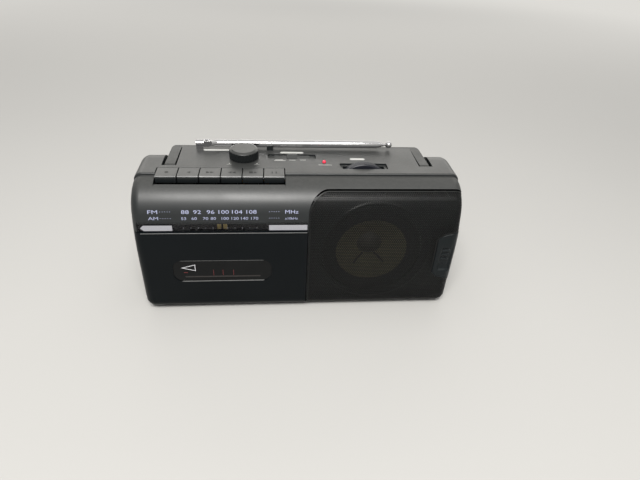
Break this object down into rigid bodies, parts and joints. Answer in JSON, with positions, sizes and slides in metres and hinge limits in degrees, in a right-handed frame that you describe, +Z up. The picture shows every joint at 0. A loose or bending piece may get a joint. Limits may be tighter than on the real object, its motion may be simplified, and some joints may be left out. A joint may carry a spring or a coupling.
{
  "type": "radio cassette recorder",
  "caption": "Portable radio cassette recorder: cassette door and dial at left, wide speaker grille at right, top keys, carrying handle and telescopic antenna.",
  "frame": {"origin": "on the ground under the middle of the whole object, handle folded back", "axes": "+X along the length towards the speaker end, +Y from the front to the back, +Z up"},
  "size_m": [0.287, 0.0986, 0.1365],
  "materials": {
    "charcoal_plastic": "satin",
    "black_plastic": "satin",
    "smoked_window": "clear",
    "clear_window": "clear",
    "dial_print": "satin",
    "pointer_plastic": "gloss",
    "grille_metal": "satin",
    "aluminium_can": "satin",
    "steel_sheet": "zinc plated",
    "spring_steel": "satin",
    "ferrite": "matte",
    "cone_paper": "matte",
    "component_metal": "satin",
    "component_plastic": "gloss",
    "led_lens": "gloss",
    "cord_fibre": "matte",
    "chrome_metal": "mirror",
    "flywheel_steel": "turned",
    "brass_metal": "satin",
    "belt_rubber": "matte",
    "white_plastic": "satin",
    "board_laminate": "satin",
    "core_steel": "satin",
    "foot_rubber": "matte",
    "screw_steel": "zinc plated"
  },
  "bodies": {
    "cabinet": {"ac_inlet": "black_plastic", "antenna_base": "black_plastic", "battery_contacts": "spring_steel", "case_screws": "screw_steel", "dial_cord": "cord_fibre", "dial_plate": "dial_print", "dial_window": "clear_window", "door_spring": "spring_steel", "drive_belt": "belt_rubber", "earphone_jack": "black_plastic", "feet": "foot_rubber", "ferrite_rod": "ferrite", "flywheel_bracket": "steel_sheet", "front_cabinet": "charcoal_plastic", "function_switch": "component_metal", "key_bracket": "steel_sheet", "key_shaft": "steel_sheet", "main_board": "board_laminate", "mechanism_chassis": "steel_sheet", "microphone_capsule": "aluminium_can", "microphone_cover": "black_plastic", "motor": "component_metal", "power_led": "led_lens", "power_transformer": "core_steel", "rear_cabinet": "charcoal_plastic", "speaker_cone": "cone_paper", "speaker_dust_cap": "cone_paper", "speaker_frame": "steel_sheet", "speaker_grille": "grille_metal", "speaker_magnet": "ferrite", "tuning_capacitor": "component_plastic", "volume_potentiometer": "component_metal"},
    "cassette_door": {"cassette_door": "black_plastic", "door_window": "smoked_window", "cassette_holder": "steel_sheet"},
    "head_base": {"head_base": "steel_sheet", "tape_heads": "chrome_metal"},
    "handle": {"handle": "black_plastic"},
    "volume_knob": {"volume_knob": "black_plastic"},
    "function_slider": {"function_slider": "black_plastic"},
    "tuning_wheel": {"tuning_wheel": "black_plastic"},
    "dial_pointer": {"dial_pointer": "pointer_plastic"},
    "antenna_swivel": {"antenna_swivel": "chrome_metal"},
    "antenna_section_1": {"antenna_section_1": "chrome_metal"},
    "antenna_section_2": {"antenna_section_2": "chrome_metal"},
    "antenna_section_3": {"antenna_section_3": "chrome_metal"},
    "antenna_section_4": {"antenna_section_4": "chrome_metal"},
    "antenna_section_5": {"antenna_section_5": "chrome_metal"},
    "flywheel": {"flywheel": "flywheel_steel"},
    "motor_pulley": {"motor_pulley": "brass_metal"},
    "take_up_spindle": {"take_up_spindle": "white_plastic"},
    "supply_spindle": {"supply_spindle": "white_plastic"},
    "pinch_roller": {"pinch_roller": "belt_rubber"},
    "battery_door": {"battery_door": "charcoal_plastic"},
    "key_record": {"key_record": "black_plastic"},
    "key_play": {"key_play": "black_plastic"},
    "key_rewind": {"key_rewind": "black_plastic"},
    "key_fast_forward": {"key_fast_forward": "black_plastic"},
    "key_stop_eject": {"key_stop_eject": "black_plastic"},
    "key_pause": {"key_pause": "black_plastic"}
  },
  "joints": [
    {"name": "cassette_door_hinge", "type": "hinge", "parent": "cabinet", "child": "cassette_door", "pos_m": [-0.066, -0.0413, 0.011], "axis": [1, 0, 0], "range_deg": [0, 40]},
    {"name": "handle_pivot", "type": "hinge", "parent": "cabinet", "child": "handle", "pos_m": [0, 0.0052, 0.1215], "axis": [1, 0, 0], "range_deg": [0, 90]},
    {"name": "key_record_press", "type": "hinge", "parent": "cabinet", "child": "key_record", "pos_m": [-0.11538, -0.0062, 0.1175], "axis": [1, 0, 0], "range_deg": [0, 10], "stiffness_Nm_per_rad": 0.1, "springref_deg": -2.86},
    {"name": "key_play_press", "type": "hinge", "parent": "cabinet", "child": "key_play", "pos_m": [-0.09703, -0.0062, 0.1175], "axis": [1, 0, 0], "range_deg": [0, 10], "stiffness_Nm_per_rad": 0.1, "springref_deg": -2.86},
    {"name": "key_rewind_press", "type": "hinge", "parent": "cabinet", "child": "key_rewind", "pos_m": [-0.07867, -0.0062, 0.1175], "axis": [1, 0, 0], "range_deg": [0, 10], "stiffness_Nm_per_rad": 0.1, "springref_deg": -2.86},
    {"name": "key_fast_forward_press", "type": "hinge", "parent": "cabinet", "child": "key_fast_forward", "pos_m": [-0.06032, -0.0062, 0.1175], "axis": [1, 0, 0], "range_deg": [0, 10], "stiffness_Nm_per_rad": 0.1, "springref_deg": -2.86},
    {"name": "key_stop_eject_press", "type": "hinge", "parent": "cabinet", "child": "key_stop_eject", "pos_m": [-0.04197, -0.0062, 0.1175], "axis": [1, 0, 0], "range_deg": [0, 10], "stiffness_Nm_per_rad": 0.1, "springref_deg": -2.86},
    {"name": "key_pause_press", "type": "hinge", "parent": "cabinet", "child": "key_pause", "pos_m": [-0.02363, -0.0062, 0.1175], "axis": [1, 0, 0], "range_deg": [0, 10], "stiffness_Nm_per_rad": 0.1, "springref_deg": -2.86},
    {"name": "volume_turn", "type": "hinge", "parent": "cabinet", "child": "volume_knob", "pos_m": [-0.051, 0.0163, 0.1273], "axis": [0, 0, 1], "range_deg": [-210, 90]},
    {"name": "function_slide", "type": "slide", "parent": "cabinet", "child": "function_slider", "axis": [1, 0, 0], "range_m": [-0.005, 0.005]},
    {"name": "tuning_turn", "type": "hinge", "parent": "cabinet", "child": "tuning_wheel", "pos_m": [0.0576, -0.0006, 0.1063], "axis": [0, 1, 0], "range_deg": [-99, 82]},
    {"name": "dial_pointer_slide", "type": "slide", "parent": "cabinet", "child": "dial_pointer", "axis": [1, 0, 0], "range_m": [-0.0312, 0.0258]},
    {"name": "antenna_turn", "type": "hinge", "parent": "cabinet", "child": "antenna_swivel", "pos_m": [-0.0928, 0.0355, 0.1323], "axis": [-1, 0, 0], "range_deg": [-60, 90]},
    {"name": "antenna_lift", "type": "hinge", "parent": "antenna_swivel", "child": "antenna_section_1", "pos_m": [-0.0846, 0.0355, 0.1323], "axis": [0, -1, 0], "range_deg": [0, 90]},
    {"name": "antenna_slide_2", "type": "slide", "parent": "antenna_section_1", "child": "antenna_section_2", "axis": [1, 0, 0], "range_m": [0, 0.136]},
    {"name": "antenna_slide_3", "type": "slide", "parent": "antenna_section_2", "child": "antenna_section_3", "axis": [1, 0, 0], "range_m": [0, 0.136]},
    {"name": "antenna_slide_4", "type": "slide", "parent": "antenna_section_3", "child": "antenna_section_4", "axis": [1, 0, 0], "range_m": [0, 0.136]},
    {"name": "antenna_slide_5", "type": "slide", "parent": "antenna_section_4", "child": "antenna_section_5", "axis": [1, 0, 0], "range_m": [0, 0.136]},
    {"name": "flywheel_spin", "type": "hinge", "parent": "cabinet", "child": "flywheel", "pos_m": [-0.0913, -0.02, 0.0736], "axis": [0, 1, 0], "continuous": true},
    {"name": "motor_pulley_spin", "type": "hinge", "parent": "cabinet", "child": "motor_pulley", "pos_m": [-0.038, -0.02, 0.062], "axis": [0, 1, 0], "continuous": true},
    {"name": "take_up_spin", "type": "hinge", "parent": "cabinet", "child": "take_up_spindle", "pos_m": [-0.09155, -0.025, 0.0467], "axis": [0, 1, 0], "continuous": true},
    {"name": "supply_spin", "type": "hinge", "parent": "cabinet", "child": "supply_spindle", "pos_m": [-0.04905, -0.025, 0.0467], "axis": [0, 1, 0], "continuous": true},
    {"name": "head_base_slide", "type": "slide", "parent": "cabinet", "child": "head_base", "axis": [0, 0, -1], "range_m": [0, 0.0046]},
    {"name": "pinch_roller_spin", "type": "hinge", "parent": "head_base", "child": "pinch_roller", "pos_m": [-0.0913, -0.035, 0.0851], "axis": [0, 1, 0], "continuous": true},
    {"name": "battery_door_hinge", "type": "hinge", "parent": "cabinet", "child": "battery_door", "pos_m": [0.0175, 0.0384, 0.0135], "axis": [-1, 0, 0], "range_deg": [0, 90]}
  ],
  "couplings": [
    {"joint": "dial_pointer_slide", "follows": "tuning_turn", "m_per_rad": 0.018},
    {"joint": "key_play_press", "follows": "head_base_slide", "rad_per_m": 37.94},
    {"joint": "motor_pulley_spin", "follows": "flywheel_spin", "ratio": 5.75},
    {"joint": "take_up_spin", "follows": "flywheel_spin", "ratio": 0.09}
  ]
}
